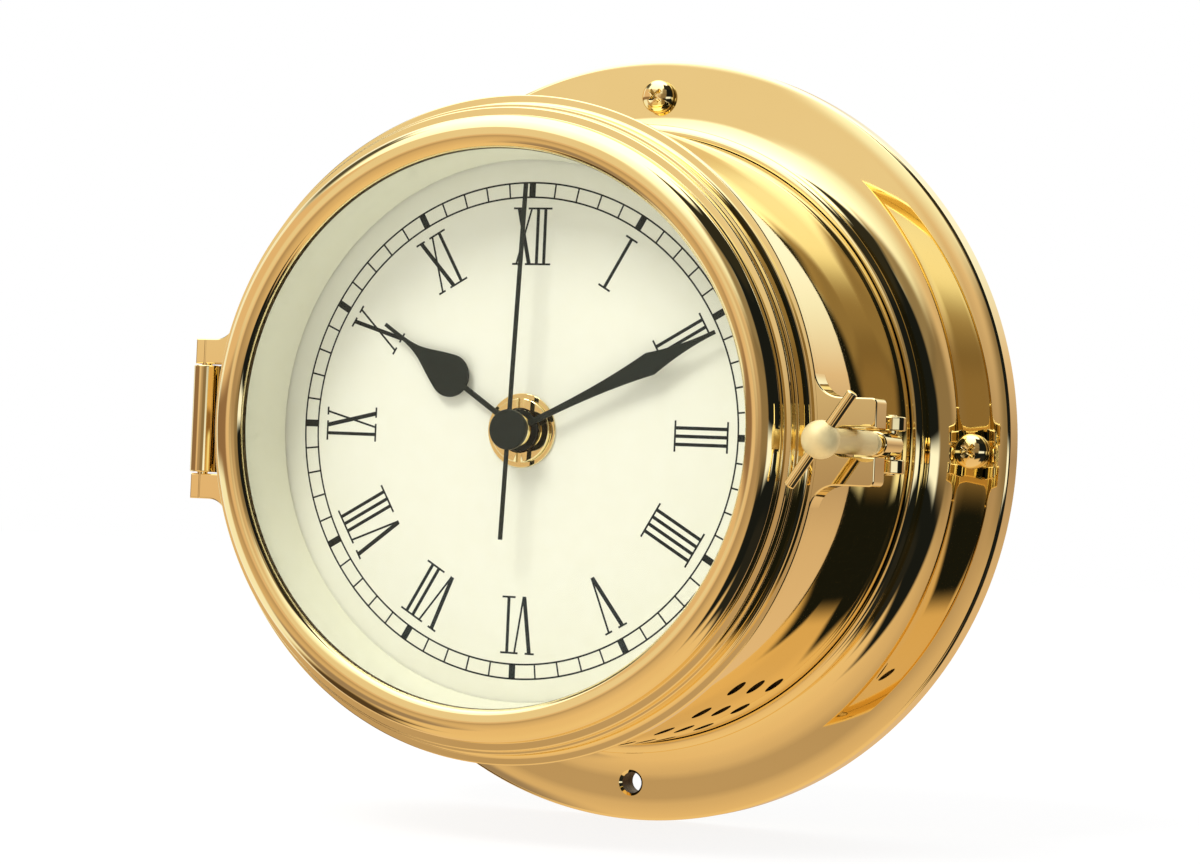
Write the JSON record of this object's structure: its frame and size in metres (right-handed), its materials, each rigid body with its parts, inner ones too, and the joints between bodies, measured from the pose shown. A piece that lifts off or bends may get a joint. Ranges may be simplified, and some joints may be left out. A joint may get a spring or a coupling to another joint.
{
  "type": "ship's clock",
  "caption": "Round brass bulkhead clock on a screw flange, with a hinged glass bezel, a swing-bolt latch and a quartz movement.",
  "frame": {"origin": "centre of the flange's back face, on the clock's axis", "axes": "+X to 3 o'clock, +Y into the bulkhead, +Z to 12 o'clock"},
  "size_m": [0.152, 0.0952, 0.152],
  "materials": {
    "polished_brass": "polished and lacquered",
    "cream_enamel": "satin cream enamel",
    "charcoal_paint": "semi-matt charcoal paint",
    "clear_glass": "clear float glass",
    "black_moulding": "moulded",
    "zinc_steel": "zinc plated",
    "black_rubber": "moulded",
    "cell_jacket": "plain jacket"
  },
  "bodies": {
    "case": {"case_body": "polished_brass", "base_flange": "polished_brass", "mounting_screw_12": "polished_brass", "mounting_screw_3": "polished_brass", "mounting_screw_9": "polished_brass", "hinge_knuckle": "polished_brass", "latch_ear_upper": "polished_brass", "latch_ear_lower": "polished_brass", "latch_pivot_pin": "polished_brass", "dial_plate": "cream_enamel", "dial_screw_1": "zinc_steel", "dial_screw_2": "zinc_steel", "dial_screw_3": "zinc_steel", "movement_housing": "black_moulding", "centre_bush": "polished_brass", "dial_gasket": "black_rubber", "dial_washer": "polished_brass", "dial_nut": "polished_brass", "battery_cell": "cell_jacket", "contact_plate": "zinc_steel", "contact_spring": "zinc_steel"},
    "bezel": {"bezel_ring": "polished_brass", "glass": "clear_glass", "reflector_ring": "cream_enamel", "hinge_pin": "polished_brass"},
    "swing_bolt": {"latch_trunnion": "polished_brass"},
    "bolt_stud": {"latch_stud": "polished_brass"},
    "bolt_knob": {"latch_knob": "polished_brass", "tommy_bar": "polished_brass"},
    "minute": {"minute_hand": "charcoal_paint", "minute_arbor": "polished_brass"},
    "hour": {"hour_hand": "charcoal_paint", "hour_tube": "polished_brass"},
    "second": {"second_hand": "charcoal_paint", "second_arbor": "zinc_steel"},
    "setting": {"setting_knob": "black_moulding"}
  },
  "joints": [
    {"name": "bezel_hinge", "type": "hinge", "parent": "case", "child": "bezel", "pos_m": [-0.0648, -0.0676, 0], "axis": [0, 0, -1], "range_deg": [0, 110]},
    {"name": "bolt_swing", "type": "hinge", "parent": "case", "child": "swing_bolt", "pos_m": [0.0663, -0.0445, 0], "axis": [0, 0, 1], "range_deg": [0, 110]},
    {"name": "stud_travel", "type": "slide", "parent": "swing_bolt", "child": "bolt_stud", "axis": [0, 1, 0], "range_m": [-0.0016, 0.0016]},
    {"name": "knob_turn", "type": "hinge", "parent": "bolt_stud", "child": "bolt_knob", "pos_m": [0.0663, -0.0798, 0], "axis": [0, 1, 0], "range_deg": [-740, 740]},
    {"name": "minute_turn", "type": "hinge", "parent": "case", "child": "minute", "pos_m": [0, -0.061, 0], "axis": [0, 1, 0], "continuous": true},
    {"name": "hour_turn", "type": "hinge", "parent": "case", "child": "hour", "pos_m": [0, -0.061, 0], "axis": [0, 1, 0], "continuous": true},
    {"name": "second_turn", "type": "hinge", "parent": "case", "child": "second", "pos_m": [0, -0.061, 0], "axis": [0, 1, 0], "continuous": true},
    {"name": "setting_turn", "type": "hinge", "parent": "case", "child": "setting", "pos_m": [0, -0.0428, 0.009], "axis": [0, 1, 0], "continuous": true}
  ],
  "couplings": [
    {"joint": "knob_turn", "follows": "stud_travel", "rad_per_m": 7854},
    {"joint": "hour_turn", "follows": "minute_turn", "ratio": 0.083333},
    {"joint": "setting_turn", "follows": "minute_turn", "ratio": -1}
  ]
}
